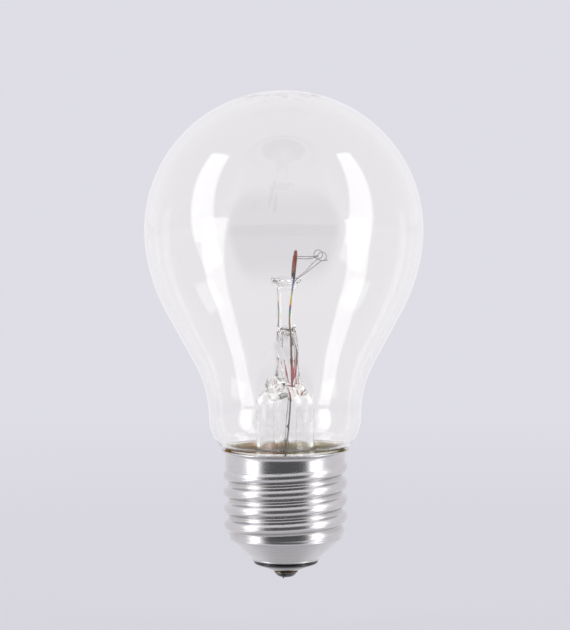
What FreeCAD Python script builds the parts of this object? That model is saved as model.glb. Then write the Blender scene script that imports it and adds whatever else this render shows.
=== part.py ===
import FreeCAD, Part
import math
import os

# Signal lamp bulb: a clear pear-shaped glass bulb on a 27 mm screw cap.
# Sizes are in millimetres and angles in degrees. The origin is the tip of the centre contact,
# +Z runs up the lamp's axis to the dome, and -Y is the side from which the stem is seen edge on.

# Screw cap: a thin aluminium shell with a rolled knuckle thread.
thread_pitch = 3.629
thread_round = 1.025
thread_crest_d = 26.4
thread_turns = 4
shell_wall = 0.3
collar_step = 0.45
collar_run = 1.75
rim_round = 1.5
rim_turn = 70.0
band_run = 1.65
corner_round = 0.5
cone_d = 14.1
cone_foot_z = 3.9
cone_lip = 0.2
cone_lip_round = 0.6
cone_heading = 41.5

# Black glass insulator, centre contact and its solder button.
insulator_band = 0.75
insulator_top_z = 6.6
insulator_dish = 0.7
insulator_ledge = 2.1
contact_d = 5.24
contact_thickness = 0.38
contact_edge = 0.16
solder_d = 4.7
solder_rise = 1.0
solder_flat_d = 1.5
shank_d = 3.0
shank_wall = 0.5
shank_head_d = 4.2
shank_head = 0.4

# Glass bulb, outside, from the dome down: arcs that run on into each other.
dome_r = 30.0
dome_overrun = 6.0
cheek_r = 39.0
cheek_slope = 28.5
throat_r = 24.0
neck_overhang = 3.7
shoulder_r = 10.0
shoulder_turn = 34.0
curl_r = 3.0
curl_turn = 32.0
curl_line = 0.58
root_r = 1.5
glass_collar_run = 2.3
seal_bend_r = 2.0
seal_bend = 33.0
seal_run = 0.8
glass_wall = 0.6
rim_to_neck_z = 0.9

# Stem: flare tube, press, exhaust tube and rod, with heights above the seal.
flare_wall = 0.9
flare_tube_d = 12.4
flare_rim_thickness = 0.8
flare_bell_height = 8.6
flare_bell_swell = 1.15
flare_bore_swell = 1.0
flare_bore_drop = 0.55
flare_tube_top = 17.4
press_foot = 23.2
press_top = 31.0
press_thickness = 5.1
press_width = 12.0
press_lean = 0.6
press_step = 0.6
press_waist_x = 4.9
press_left_drop = 3.2
press_round = 1.1
cavity_tip = 0.8
cavity_top = 21.2
exhaust_d = 5.1
exhaust_wall = 0.8
exhaust_top = 21.8
exhaust_tip = -7.6
exhaust_taper = 3.6
exhaust_tip_glass = 1.5
exhaust_bore_taper = 2.7
blow_bore_d = 1.9
blow_wall = 0.75
blow_reach = 4.6
blow_drop = 1.2
rod_d = 4.13
rod_x = 0.37
rod_socket = 2.2
rod_top = 41.8
button_d = 6.5
button_edge_r = 0.68
button_dish = 0.35

# Wires. Routes are given for the front lead; the rear one is its mirror image in Y.
lead_d = 0.42
seal_wire_d = 0.46
outer_lead_d = 0.34
side_lead_d = 0.25
lead_end_z = 0.3
support_d = 0.15
filament_d = 0.22
hook_gap = 0.02
weld_d = 0.62
weld_length = 0.7
support_loop_d = 1.9
support_loop_lead = 0.24

# Side solder on the rim.
side_solder_d = 2.2


def vec(x, y, z):
    return FreeCAD.Vector(x, y, z)


def cosd(angle):
    return math.cos(math.radians(angle))


def sind(angle):
    return math.sin(math.radians(angle))


def revolve(edges):
    """Solid of revolution about the lamp's axis from a closed run of edges in the XZ plane."""
    face = Part.Face(Part.Wire(edges))
    return face.revolve(vec(0, 0, 0), vec(0, 0, 1), 360)


def turned(points):
    """Solid of revolution of straight lines through (radius, height) points."""
    corners = [vec(r, 0, z) for r, z in points]
    corners.append(corners[0])
    return revolve([Part.makeLine(a, b) for a, b in zip(corners, corners[1:])])


def walk(start, heading, steps, inset=0.0):
    """Run of lines and tangent arcs in the XZ plane, as a list of edges.

    inset moves the whole run to the right of its direction of travel, so that both faces of a
    wall come from one list of steps.
    """
    r = start[0] + inset * sind(heading)
    z = start[1] - inset * cosd(heading)
    edges = []
    for kind, size, turn in steps:
        here = vec(r, 0, z)
        if kind == "line":
            r += size * cosd(heading)
            z += size * sind(heading)
            edges.append(Part.makeLine(here, vec(r, 0, z)))
            continue
        side = 1.0 if kind == "left" else -1.0
        radius = size + side * inset
        centre_r = r - side * radius * sind(heading)
        centre_z = z + side * radius * cosd(heading)
        stops = []
        for part in (0.5, 1.0):
            angle = heading + side * turn * part
            stop_r = centre_r + side * radius * sind(angle)
            stop_z = centre_z - side * radius * cosd(angle)
            stops.append(vec(stop_r, 0, stop_z))
        edges.append(Part.Arc(here, stops[0], stops[1]).toShape())
        heading += side * turn
        r, z = stops[1].x, stops[1].z
    return edges


def run_start(edges):
    return edges[0].valueAt(edges[0].FirstParameter)


def run_end(edges):
    return edges[-1].valueAt(edges[-1].LastParameter)


def walled(outside, inside):
    """Turned solid between two runs that go the same way."""
    foot = Part.makeLine(run_start(inside), run_start(outside))
    head = Part.makeLine(run_end(outside), run_end(inside))
    return revolve(outside + [head] + inside[::-1] + [foot])


# Cap shell, from the lower lip up the cone, round the thread and out to the flared rim.
flank = math.degrees(math.asin(thread_pitch / 4 / thread_round))
crest_r = thread_crest_d / 2
thread_root_r = crest_r - 2 * thread_round * (1 - cosd(flank))
collar_r = crest_r - collar_step
run_off = math.degrees(math.acos(1 - (crest_r - collar_r) / (2 * thread_round)))
cone_rise_r = thread_root_r - cone_d / 2
cone_rise_r -= cone_lip_round * (1 - sind(cone_heading)) + corner_round * (1 - sind(cone_heading))
cone_line = cone_rise_r / cosd(cone_heading)


def shell_run(inset):
    steps = [("line", cone_lip, 0), ("right", cone_lip_round, 90 - cone_heading)]
    steps += [("line", cone_line, 0), ("left", corner_round, 90 - cone_heading)]
    steps += [("line", band_run, 0), ("right", thread_round, flank)]
    for turn in range(thread_turns - 1):
        steps += [("left", thread_round, 2 * flank), ("right", thread_round, 2 * flank)]
    steps += [("left", thread_round, flank + run_off), ("right", thread_round, run_off)]
    steps += [("line", collar_run, 0), ("right", rim_round, rim_turn)]
    return walk((cone_d / 2, cone_foot_z), 90, steps, -inset)


shell_out = shell_run(0.0)
shell_in = shell_run(shell_wall)
rim = run_end(shell_out)
root_z = rim.z - rim_to_neck_z
seal_z = root_z - glass_collar_run - 2 * seal_bend_r * sind(seal_bend) - seal_run


def make_cap_shell():
    return walled(shell_out, shell_in)


# Glass bulb. The length of the straight cheek follows from the neck's size.
def sweep_r(radius, first, last):
    return radius * abs(cosd(first) - cosd(last))


def sweep_z(radius, first, last):
    return radius * abs(sind(first) - sind(last))


curl_end = shoulder_turn + curl_turn
cheek_start_r = dome_r * cosd(dome_overrun)
cheek_end_r = cheek_start_r - sweep_r(cheek_r, dome_overrun, cheek_slope)
neck_r = collar_r + neck_overhang
cheek_line = (cheek_end_r - neck_r - sweep_r(throat_r, cheek_slope, 0)) / sind(cheek_slope)
neck_z = root_z + sweep_z(root_r, curl_end, 0) + curl_line * cosd(curl_end)
neck_z += sweep_z(curl_r, curl_end, shoulder_turn) + sweep_z(shoulder_r, shoulder_turn, 0)
dome_z = neck_z + sweep_z(throat_r, cheek_slope, 0) + cheek_line * cosd(cheek_slope)
dome_z += sweep_z(cheek_r, cheek_slope, dome_overrun) + sweep_z(dome_r, dome_overrun, 0)


def glass_run(inset):
    steps = [("right", dome_r, 90 + dome_overrun), ("right", cheek_r, cheek_slope - dome_overrun)]
    steps += [("line", cheek_line, 0), ("left", throat_r, cheek_slope)]
    steps += [("right", shoulder_r, shoulder_turn), ("right", curl_r, curl_turn)]
    steps += [("line", curl_line, 0), ("left", root_r, curl_end)]
    steps += [("line", glass_collar_run, 0), ("right", seal_bend_r, seal_bend)]
    steps += [("left", seal_bend_r, seal_bend), ("line", seal_run, 0)]
    return walk((0, dome_z + dome_r), 0, steps, inset)


glass_out = glass_run(0.0)
glass_in = glass_run(glass_wall)
seal_r = run_end(glass_out).x
glass_neck_r = run_start(glass_out[8:]).x


def make_glass_bulb():
    return walled(glass_out, glass_in)


# Capping cement between the neck and the shell, cut to the glass and to the shell's inside.
def make_capping_cement():
    foot_r = thread_root_r - shell_wall
    collar_in_r = collar_r - shell_wall
    collar_foot_z = rim.z - rim_round * sind(rim_turn) - collar_run
    glass_side = glass_out[6:]
    lip = shell_in[-2:]
    top = Part.makeLine(run_end(lip), run_start(glass_side))
    points = [run_start(lip), vec(collar_in_r, 0, collar_foot_z)]
    points.append(vec(foot_r, 0, collar_foot_z - 2 * (collar_in_r - foot_r)))
    points.append(vec(foot_r, 0, seal_z))
    points.append(run_end(glass_side))
    edges = [Part.makeLine(a, b) for a, b in zip(points, points[1:]) if (a - b).Length > 1e-6]
    return revolve(lip + [top] + glass_side + edges)


# Cap insulator with the contact disc let into its underside.
contact_r = contact_d / 2
shank_r = shank_d / 2
contact_top_z = solder_rise + contact_thickness


def make_cap_insulator():
    band_z = cone_foot_z - insulator_band
    lip_r = cone_d / 2
    inside = shell_in[:3]
    reach = insulator_top_z - run_start(inside[2:]).z
    cone_top = run_start(inside[2:]) + vec(reach / math.tan(math.radians(cone_heading)), 0, reach)
    dish_r = shank_head_d / 2 + insulator_ledge
    points = [cone_top, vec(dish_r, 0, insulator_top_z - insulator_dish)]
    points.append(vec(shank_r, 0, insulator_top_z - insulator_dish))
    points += [vec(shank_r, 0, contact_top_z), vec(contact_r, 0, contact_top_z)]
    points += [vec(lip_r, 0, band_z), vec(lip_r, 0, cone_foot_z), run_start(inside)]
    edges = [Part.makeLine(a, b) for a, b in zip(points, points[1:])]
    cone_side = Part.makeLine(run_start(inside[2:]), cone_top)
    return revolve(edges + inside[:2] + [cone_side])


def make_contact_plate():
    edge_z = contact_top_z - contact_thickness
    head_z = insulator_top_z - insulator_dish
    bore_r = shank_r - shank_wall
    disc = [(bore_r, edge_z), (contact_r - contact_edge, edge_z), (contact_r, edge_z + contact_edge)]
    disc += [(contact_r, contact_top_z), (shank_r, contact_top_z), (shank_r, head_z)]
    disc += [(shank_head_d / 2, head_z), (shank_head_d / 2 - shank_wall / 2, head_z + shank_head)]
    disc += [(bore_r, head_z + shank_head / 2)]
    return turned(disc)


def make_contact_solder():
    """Low button on the disc, worn flat at its tip, with a plug up the shank."""
    edge_r = solder_d / 2
    flat_r = solder_flat_d / 2
    bore_r = shank_r - shank_wall
    bulge_r = ((edge_r - flat_r) ** 2 + solder_rise ** 2) / (2 * solder_rise)
    bulge_turn = math.degrees(math.asin((edge_r - flat_r) / bulge_r))
    dome = walk((flat_r, 0), 0, [("left", bulge_r, bulge_turn)])
    points = [vec(edge_r, 0, solder_rise), vec(bore_r, 0, solder_rise)]
    points += [vec(bore_r, 0, contact_top_z), vec(0, 0, contact_top_z), vec(0, 0, 0), vec(flat_r, 0, 0)]
    edges = [Part.makeLine(a, b) for a, b in zip(points, points[1:])]
    return revolve(dome + edges)


# Wires are round bar swept along straight runs joined by tangent arcs.
def wire_path(points, ease=0.45):
    corners = [vec(*p) for p in points]
    edges = []
    here = corners[0]
    for before, corner, after in zip(corners, corners[1:], corners[2:]):
        into = (corner - before).normalize()
        out = (after - corner).normalize()
        turn = into.getAngle(out)
        reach = ease * min((corner - before).Length, (after - corner).Length)
        if turn < 0.01:
            continue
        radius = reach / math.tan(turn / 2)
        first = corner - into * reach
        last = corner + out * reach
        inward = (out - into).normalize()
        centre = corner + inward * (radius / math.cos(turn / 2))
        middle = centre - inward * radius
        edges.append(Part.makeLine(here, first))
        edges.append(Part.Arc(first, middle, last).toShape())
        here = last
    edges.append(Part.makeLine(here, corners[-1]))
    return Part.Wire(edges)


def bar_along(points, diameter):
    path = wire_path(points)
    heading = vec(*points[1]) - vec(*points[0])
    section = Part.Wire([Part.makeCircle(diameter / 2, vec(*points[0]), heading)])
    return path.makePipeShell([section], True, False)


def weld_at(point, heading):
    """Short thick stretch where two wires are butt welded."""
    axis = vec(*heading).normalize()
    foot = vec(*point) - axis * (weld_length / 2)
    return Part.makeCylinder(weld_d / 2, weld_length, foot, axis)


# Route of the front lead: X, Y and height above the seal, by stretch.
def lifted(points, side):
    return [(x, y * side, z + seal_z) for x, y, z in points]


hook_y = 3.42
hook_shift = (lead_d + filament_d + hook_gap) / 2
inner_route = [
    (1.45, 2.75, 26.0), (1.38, 2.85, 31.2), (1.12, 2.95, 33.6), (1.1, 3.02, 35.2),
    (1.3, 3.1, 37.6), (1.65, 3.2, 40.7), (2.2, hook_y - hook_shift, 43.8),
    (2.6, hook_y - hook_shift, 49.45), (2.6, hook_y + hook_shift, 49.45),
    (2.45, hook_y + hook_shift, 47.6), (2.12, 3.66, 46.3), (1.86, 3.6, 43.9),
]
seal_route = [(1.45, 2.75, 26.0), (1.52, 2.8, 23.4), (1.36, 2.95, 20.3), (1.18, 3.2, 17.7)]
outer_front_route = [
    (1.18, 3.2, 17.7), (1.0, 3.4, 14.6), (0.75, 3.55, 11.6), (0.55, 3.6, 9.2),
    (0.1, 3.6, 7.2), (-0.5, 3.5, 4.4), (-0.75, 3.3, 0.4), (-0.7, 3.1, -3.4),
    (-0.6, 2.4, -7.4), (-0.4, 0.9, -11.6),
]
side_route = [
    (1.18, 3.2, 17.7), (0.9, 3.5, 14.8), (0.4, 3.85, 12.0), (0.2, 3.95, 9.0),
    (0.1, 3.95, 5.4), (0.0, 4.0, 2.2),
]
filament_route = [
    (1.85, hook_y, 47.72), (3.3, hook_y, 47.75), (4.6, hook_y + 0.05, 47.65),
    (5.9, 2.75, 47.7), (6.85, 1.5, 47.9), (7.25, 0.6, 48.1),
]


def make_inner_lead(side):
    return bar_along(lifted(inner_route, side), lead_d)


def make_seal_wire(side):
    points = lifted(seal_route, side)
    wire = bar_along(points, seal_wire_d)
    first, second, last = points[0], points[1], points[-1]
    upper = [b - a for a, b in zip(first, second)]
    lower = [b - a for a, b in zip(points[-2], last)]
    top_weld = weld_at([a + b * 0.12 for a, b in zip(first, upper)], upper)
    low_weld = weld_at([a - b * 0.12 for a, b in zip(last, lower)], lower)
    return wire.fuse([top_weld, low_weld])


def make_centre_lead():
    """Front lead below the press, past the exhaust tube's tip and down into the solder."""
    points = lifted(outer_front_route, -1)
    points += [(-0.25, 0.0, contact_top_z + 4.0), (-0.2, 0.0, contact_top_z + 1.2)]
    points += [(-0.35, 0.0, solder_rise), (-0.5, 0.0, lead_end_z)]
    return bar_along(points, outer_lead_d)


def beside_rim(angle, spread):
    """Point in the gap round the flared rim, at an angle round the rim's own centre."""
    centre_r = collar_r + rim_round
    centre_z = rim.z - rim_round * sind(rim_turn)
    reach = rim_round + shell_wall + spread
    return (0.0, centre_r - reach * cosd(angle), centre_z + reach * sind(angle))


def make_side_lead():
    """Rear lead below the press, round the seal and up between neck and shell to the rim."""
    gap_r = (seal_r + thread_root_r - shell_wall) / 2
    neck_r = (glass_neck_r + collar_r - shell_wall) / 2
    under_z = seal_z - flare_rim_thickness - 1.3
    points = lifted(side_route, 1)
    points += [(0.0, 5.0, under_z + 0.3), (0.0, gap_r - 3.0, under_z), (0.0, gap_r, under_z + 0.1)]
    points += [(0.0, gap_r, seal_z + 0.6), (0.0, neck_r, seal_z + 2.7)]
    points += [beside_rim(angle, 0.28) for angle in (10, 40, 68)]
    points += [beside_rim(94, 0.4), beside_rim(112, 0.1), (0.0, rim.x + 0.55, rim.z - 0.9)]
    return bar_along(points, side_lead_d)


def make_side_solder():
    """Drop of solder over the lead's end on the outside of the rim."""
    ball = Part.makeSphere(side_solder_d / 2)
    ball.rotate(vec(0, 0, 0), vec(1, 0, 0), -90)
    ball.translate(vec(0, rim.x + 0.05, rim.z - 0.45))
    return ball


# Stem glass.
def make_flare_skirt():
    """Turned lower part of the flare: sealing rim, bell and straight tube."""
    tube_r = flare_tube_d / 2
    inner_r = tube_r - flare_wall
    rim_in_r = seal_r - glass_wall - flare_wall
    foot_z = seal_z - flare_rim_thickness
    bell_z = seal_z + flare_bell_height
    top_z = seal_z + flare_tube_top
    bell_middle = vec(tube_r + flare_bell_swell, 0, seal_z + flare_bell_height / 3)
    hollow_middle = vec(inner_r + flare_bore_swell, 0, bell_middle.z - flare_bore_drop)
    bell = Part.Arc(vec(seal_r - glass_wall, 0, seal_z), bell_middle, vec(tube_r, 0, bell_z))
    hollow = Part.Arc(vec(inner_r, 0, bell_z), hollow_middle, vec(rim_in_r, 0, foot_z))
    edges = [bell.toShape(), Part.makeLine(vec(tube_r, 0, bell_z), vec(tube_r, 0, top_z))]
    edges.append(Part.makeLine(vec(tube_r, 0, top_z), vec(inner_r, 0, top_z)))
    edges.append(Part.makeLine(vec(inner_r, 0, top_z), vec(inner_r, 0, bell_z)))
    edges.append(hollow.toShape())
    edges.append(Part.makeLine(vec(rim_in_r, 0, foot_z), vec(seal_r, 0, foot_z)))
    edges.append(Part.makeLine(vec(seal_r, 0, foot_z), vec(seal_r, 0, seal_z)))
    edges.append(Part.makeLine(vec(seal_r, 0, seal_z), vec(seal_r - glass_wall, 0, seal_z)))
    return revolve(edges)


def edge_on(points, width):
    """Prism as wide as asked in Y from an outline of (x, height above the seal) points."""
    corners = [vec(x, -width / 2, seal_z + height) for x, height in points]
    corners.append(corners[0])
    face = Part.Face(Part.Wire([Part.makeLine(a, b) for a, b in zip(corners, corners[1:])]))
    return face.extrude(vec(0, width, 0))


def upright_edges(solid):
    """Edges that climb along the stem, not those that run across it."""
    return [edge for edge in solid.Edges if edge.BoundBox.ZLength > 0.9 * edge.BoundBox.DiagonalLength]


def make_press():
    """Tube end pinched flat in X, seen edge on as a block over sloping shoulders."""
    tube_r = flare_tube_d / 2
    left = press_lean - press_thickness / 2
    right = press_lean + press_thickness / 2
    outline = [(-tube_r, flare_tube_top), (-tube_r, flare_tube_top + press_step)]
    outline += [(-press_waist_x, press_foot - press_left_drop), (left, press_foot), (left, press_top)]
    outline += [(right, press_top), (right, press_foot), (tube_r, flare_tube_top + press_step)]
    outline.append((tube_r, flare_tube_top))
    block = edge_on(outline, 2 * flare_tube_d)
    tube = Part.makeCylinder(tube_r, press_top - flare_tube_top, vec(0, 0, seal_z + flare_tube_top))
    press = block.common(tube)
    return press.makeFillet(press_round, upright_edges(press))


def make_cavity():
    """Hollow of the flare tube, which closes to a wedge under the press."""
    bore_r = flare_tube_d / 2 - flare_wall
    foot = flare_tube_top - flare_wall
    outline = [(-bore_r, foot), (-bore_r, flare_tube_top), (press_lean - cavity_tip, cavity_top)]
    outline += [(press_lean + cavity_tip, cavity_top), (bore_r, flare_tube_top), (bore_r, foot)]
    wedge = edge_on(outline, 2 * flare_tube_d)
    return wedge.common(Part.makeCylinder(bore_r, cavity_top, vec(0, 0, seal_z)))


def blow_axis():
    start = vec(rod_x * 0.2, 0, seal_z + exhaust_top - 0.3)
    end = start + vec(-blow_reach, 0, -blow_drop)
    return start, end - start


def make_stem_blank():
    start, reach = blow_axis()
    bore = Part.makeCylinder(blow_bore_d / 2, reach.Length + 1.0, start, reach)
    neck = Part.makeCylinder(blow_bore_d / 2 + blow_wall, reach.Length * 0.86, start, reach)
    lip_centre = start + reach * 0.8
    lip = Part.makeTorus(blow_bore_d / 2 + blow_wall * 0.62, blow_wall * 0.7, lip_centre, reach)
    glass = make_press().cut(make_cavity())
    glass = glass.fuse([make_flare_skirt(), neck, lip])
    return glass.cut(bore)


def make_exhaust_tube():
    """Pumping tube, drawn to a closed tip below."""
    outer = exhaust_d / 2
    bore = outer - exhaust_wall
    top = seal_z + exhaust_top
    tip = seal_z + exhaust_tip
    bore_tip = tip + exhaust_tip_glass
    taper_z = tip + exhaust_taper
    bore_taper_z = bore_tip + exhaust_bore_taper
    tip_middle = vec(outer * 0.62, 0, tip + exhaust_taper * 0.3)
    bore_middle = vec(bore * 0.6, 0, bore_tip + exhaust_bore_taper * 0.3)
    edges = [Part.Arc(vec(0, 0, tip), tip_middle, vec(outer, 0, taper_z)).toShape()]
    edges.append(Part.makeLine(vec(outer, 0, taper_z), vec(outer, 0, top)))
    edges.append(Part.makeLine(vec(outer, 0, top), vec(bore, 0, top)))
    edges.append(Part.makeLine(vec(bore, 0, top), vec(bore, 0, bore_taper_z)))
    edges.append(Part.Arc(vec(0, 0, bore_tip), bore_middle, vec(bore, 0, bore_taper_z)).toShape())
    edges.append(Part.makeLine(vec(0, 0, bore_tip), vec(0, 0, tip)))
    tube = revolve(edges)
    start, reach = blow_axis()
    return tube.cut(Part.makeCylinder(blow_bore_d / 2, reach.Length, start, reach))


def make_glass_rod():
    """Solid rod with the flattened, slightly dished button at its top."""
    foot = seal_z + press_top - rod_socket
    neck = seal_z + rod_top
    rod_r = rod_d / 2
    edge_r = button_d / 2 - button_edge_r
    top = neck + 1.1 * button_edge_r
    steps = [("line", neck - foot - 1.2, 0), ("right", 1.2, 60)]
    side = walk((rod_r, foot), 90, steps)
    knee = run_end(side)
    edge_low = vec(edge_r, 0, top - button_edge_r)
    edge_out = vec(button_d / 2, 0, top)
    edge_top = vec(edge_r, 0, top + button_edge_r)
    bead = Part.Arc(edge_low, edge_out, edge_top).toShape()
    dish = Part.makeLine(edge_top, vec(0, 0, top + button_edge_r - button_dish))
    edges = side + [Part.makeLine(knee, edge_low), bead, dish]
    edges.append(Part.makeLine(vec(0, 0, top + button_edge_r - button_dish), vec(0, 0, foot)))
    edges.append(Part.makeLine(vec(0, 0, foot), vec(rod_r, 0, foot)))
    rod = revolve(edges)
    rod.translate(vec(rod_x, 0, 0))
    return rod


# Supports: straight from the button, then one open turn round the filament.
def make_support(side):
    anchor = (1.4, 1.7, 42.3)
    bend = (4.5, 2.1, 44.4) if side < 0 else (4.5, 2.1, 44.25)
    loop_x = 8.2 if side < 0 else 7.4
    loop_z = 48.0 if side < 0 else 48.3
    loop_y = 1.2
    loop_r = support_loop_d / 2
    points = [anchor, bend, (loop_x - 0.9, loop_y + 0.1, loop_z - 1.45)]
    start = -100.0 if side < 0 else -60.0
    turns = 9
    for k in range(turns):
        angle = start + 40.0 * k
        y = loop_y + support_loop_lead * (k / 9.0 - 0.5)
        points.append((loop_x + loop_r * cosd(angle), y, loop_z + loop_r * sind(angle)))
    return bar_along(lifted(points, side), support_d)


def make_filament():
    front = lifted(filament_route, -1)
    rear = lifted(filament_route, 1)
    return bar_along(front + rear[::-1], filament_d)


def one_solid(shape):
    """Largest solid of a boolean result."""
    return max(shape.Solids, key=lambda solid: solid.Volume)


def build():
    parts = {
        "cap_shell": make_cap_shell(),
        "glass_bulb": make_glass_bulb(),
        "cap_insulator": make_cap_insulator(),
        "contact_plate": make_contact_plate(),
        "exhaust_tube": make_exhaust_tube(),
        "glass_rod": make_glass_rod(),
        "filament": make_filament(),
        "outer_lead_front": make_centre_lead(),
        "outer_lead_rear": make_side_lead(),
    }
    for name, side in (("front", -1), ("rear", 1)):
        parts["inner_lead_" + name] = make_inner_lead(side)
        parts["support_wire_" + name] = make_support(side)
        joined = [parts["inner_lead_" + name], parts["outer_lead_" + name]]
        parts["seal_wire_" + name] = make_seal_wire(side).cut(joined)

    # The glass is pressed round what it holds, and solder and cement run round the leads.
    socket = Part.makeCylinder(exhaust_d / 2, exhaust_top, vec(0, 0, seal_z))
    wires = [parts[stem + end] for stem in ("inner_lead_", "seal_wire_") for end in ("front", "rear")]
    parts["stem_flare"] = make_stem_blank().cut([socket, parts["glass_rod"]] + wires)
    supports = [parts["support_wire_front"], parts["support_wire_rear"]]
    parts["glass_rod"] = parts["glass_rod"].cut(supports)
    parts["contact_solder"] = make_contact_solder().cut(parts["outer_lead_front"])
    parts["capping_cement"] = make_capping_cement().cut(parts["outer_lead_rear"])
    held = [parts[name] for name in ("cap_shell", "glass_bulb", "capping_cement", "outer_lead_rear")]
    parts["side_solder"] = make_side_solder().cut(held)
    return {name: one_solid(part) for name, part in parts.items()}


os.makedirs("parts", exist_ok=True)
lamp = build()
for name, part in lamp.items():
    part.exportStep("parts/" + name + ".step")
    print(name, part.isValid(), round(part.Volume, 2))
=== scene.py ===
import math

import bmesh
import bpy
from mathutils import Matrix, Vector


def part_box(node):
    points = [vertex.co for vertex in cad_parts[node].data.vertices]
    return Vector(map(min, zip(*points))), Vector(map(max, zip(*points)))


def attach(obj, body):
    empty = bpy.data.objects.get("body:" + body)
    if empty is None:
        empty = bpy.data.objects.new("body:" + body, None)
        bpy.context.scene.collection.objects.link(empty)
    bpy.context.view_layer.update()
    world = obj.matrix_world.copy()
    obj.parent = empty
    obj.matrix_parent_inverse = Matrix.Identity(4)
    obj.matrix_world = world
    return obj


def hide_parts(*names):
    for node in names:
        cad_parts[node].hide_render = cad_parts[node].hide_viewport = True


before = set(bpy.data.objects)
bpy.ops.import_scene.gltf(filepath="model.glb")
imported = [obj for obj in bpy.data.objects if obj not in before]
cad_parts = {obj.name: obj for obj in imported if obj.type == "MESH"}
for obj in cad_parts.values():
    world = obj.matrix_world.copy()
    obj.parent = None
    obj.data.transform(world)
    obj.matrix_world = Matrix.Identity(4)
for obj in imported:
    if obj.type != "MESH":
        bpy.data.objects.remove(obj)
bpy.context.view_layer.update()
MM = 0.001

# Camera and room. The lamp is seen from the front, 5 degrees above level, with a long lens. The
# room is pale all round but dark behind the camera, which gives the cap its dark middle.
aim_height = 57 * MM
camera_distance = 0.70
camera_rise = math.radians(5.0)
camera_lens = 205.1
camera_roll = math.radians(0.37)
aim_shift = 0.15 * MM
glass_bounces = 40
gloss_bounces = 12


def rotation_of(across, upright, back):
    """Rotation of a camera or lamp whose own X, Y and Z point along these three directions."""
    return Matrix((across, upright, back)).transposed().to_euler()


bpy.ops.object.camera_add()
camera = bpy.context.object
camera.name = "camera"
camera.data.lens = camera_lens
camera.data.sensor_fit = "HORIZONTAL"
camera.data.clip_start = 0.01
aim = Vector((aim_shift, 0, aim_height))
away = Vector((0, -math.cos(camera_rise), math.sin(camera_rise)))
camera.location = aim + away * camera_distance
unrolled = (-away).to_track_quat("-Z", "Y").to_matrix()
leaning = unrolled @ Vector((math.sin(camera_roll), math.cos(camera_roll), 0))
camera.rotation_euler = rotation_of((-away).cross(leaning), leaning, away)
scene = bpy.context.scene
scene.camera = camera
scene.view_settings.view_transform = "Standard"
scene.cycles.max_bounces = glass_bounces
scene.cycles.transmission_bounces = glass_bounces
scene.cycles.glossy_bounces = gloss_bounces


class Amount:
    """A number that varies over a surface, so that sums on it read as plain expressions."""

    def __init__(self, finish, socket):
        self.finish = finish
        self.socket = socket

    def sum(self, operation, first, second):
        return self.finish.node("ShaderNodeMath", {"operation": operation}, {0: first, 1: second})

    def __add__(self, other):
        return self.sum("ADD", self, other)

    def __sub__(self, other):
        return self.sum("SUBTRACT", self, other)

    def __rsub__(self, other):
        return self.sum("SUBTRACT", other, self)

    def __mul__(self, other):
        return self.sum("MULTIPLY", self, other)

    def __truediv__(self, other):
        return self.sum("DIVIDE", self, other)

    __radd__ = __add__
    __rmul__ = __mul__


class Finish:
    """The nodes of one material, of the room or of a lamp."""

    def __init__(self, name, tree=None):
        if tree is None:
            self.material = bpy.data.materials.new(name)
            self.material.use_nodes = True
            tree = self.material.node_tree
        self.tree = tree
        tree.nodes.clear()
        kinds = {"room": "World", "left_lamp": "Light", "right_lamp": "Light"}
        self.output = tree.nodes.new("ShaderNodeOutput" + kinds.get(name, "Material"))

    def node(self, kind, settings, sockets, out=0):
        made = self.tree.nodes.new(kind)
        for key, value in settings.items():
            if key == "stops":
                ramp = made.color_ramp
                while len(ramp.elements) < len(value):
                    ramp.elements.new(1.0)
                for stop, (place, colour) in zip(ramp.elements, value):
                    stop.position = place
                    stop.color = (*colour, 1.0)
            else:
                setattr(made, key, value)
        for key, value in sockets.items():
            if isinstance(value, Amount):
                self.tree.links.new(value.socket, made.inputs[key])
            elif isinstance(value, tuple) and len(value) == 3 and made.inputs[key].type == "RGBA":
                made.inputs[key].default_value = (*value, 1.0)
            else:
                made.inputs[key].default_value = value
        return Amount(self, made.outputs[out])

    def show(self, shader):
        self.tree.links.new(shader.socket, self.output.inputs["Surface"])

    def place(self):
        return self.node("ShaderNodeTexCoord", {}, {}, out="Object")

    def noise(self, at, scale, detail=3.0, stretch=(1, 1, 1), out=0):
        at = self.node("ShaderNodeMapping", {}, {0: at, "Scale": stretch})
        sockets = {"Vector": at, "Scale": scale, "Detail": detail}
        return self.node("ShaderNodeTexNoise", {}, sockets, out)

    def smooth(self, value, low, high):
        """0 below low, 1 above high, and a soft step between them."""
        settings = {"interpolation_type": "SMOOTHSTEP"}
        return self.node("ShaderNodeMapRange", settings, {0: value, 1: low, 2: high})

    def blend(self, factor, first, second):
        settings = {"data_type": "RGBA"}
        mix = self.node("ShaderNodeMix", settings, {"Factor": factor}, out=2)
        for number, value in ((6, first), (7, second)):
            socket = mix.socket.node.inputs[number]
            if isinstance(value, Amount):
                self.tree.links.new(value.socket, socket)
            else:
                socket.default_value = (*value, 1.0)
        return mix

    def surface(self, sockets):
        return self.node("ShaderNodeBsdfPrincipled", {}, sockets)


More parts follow.
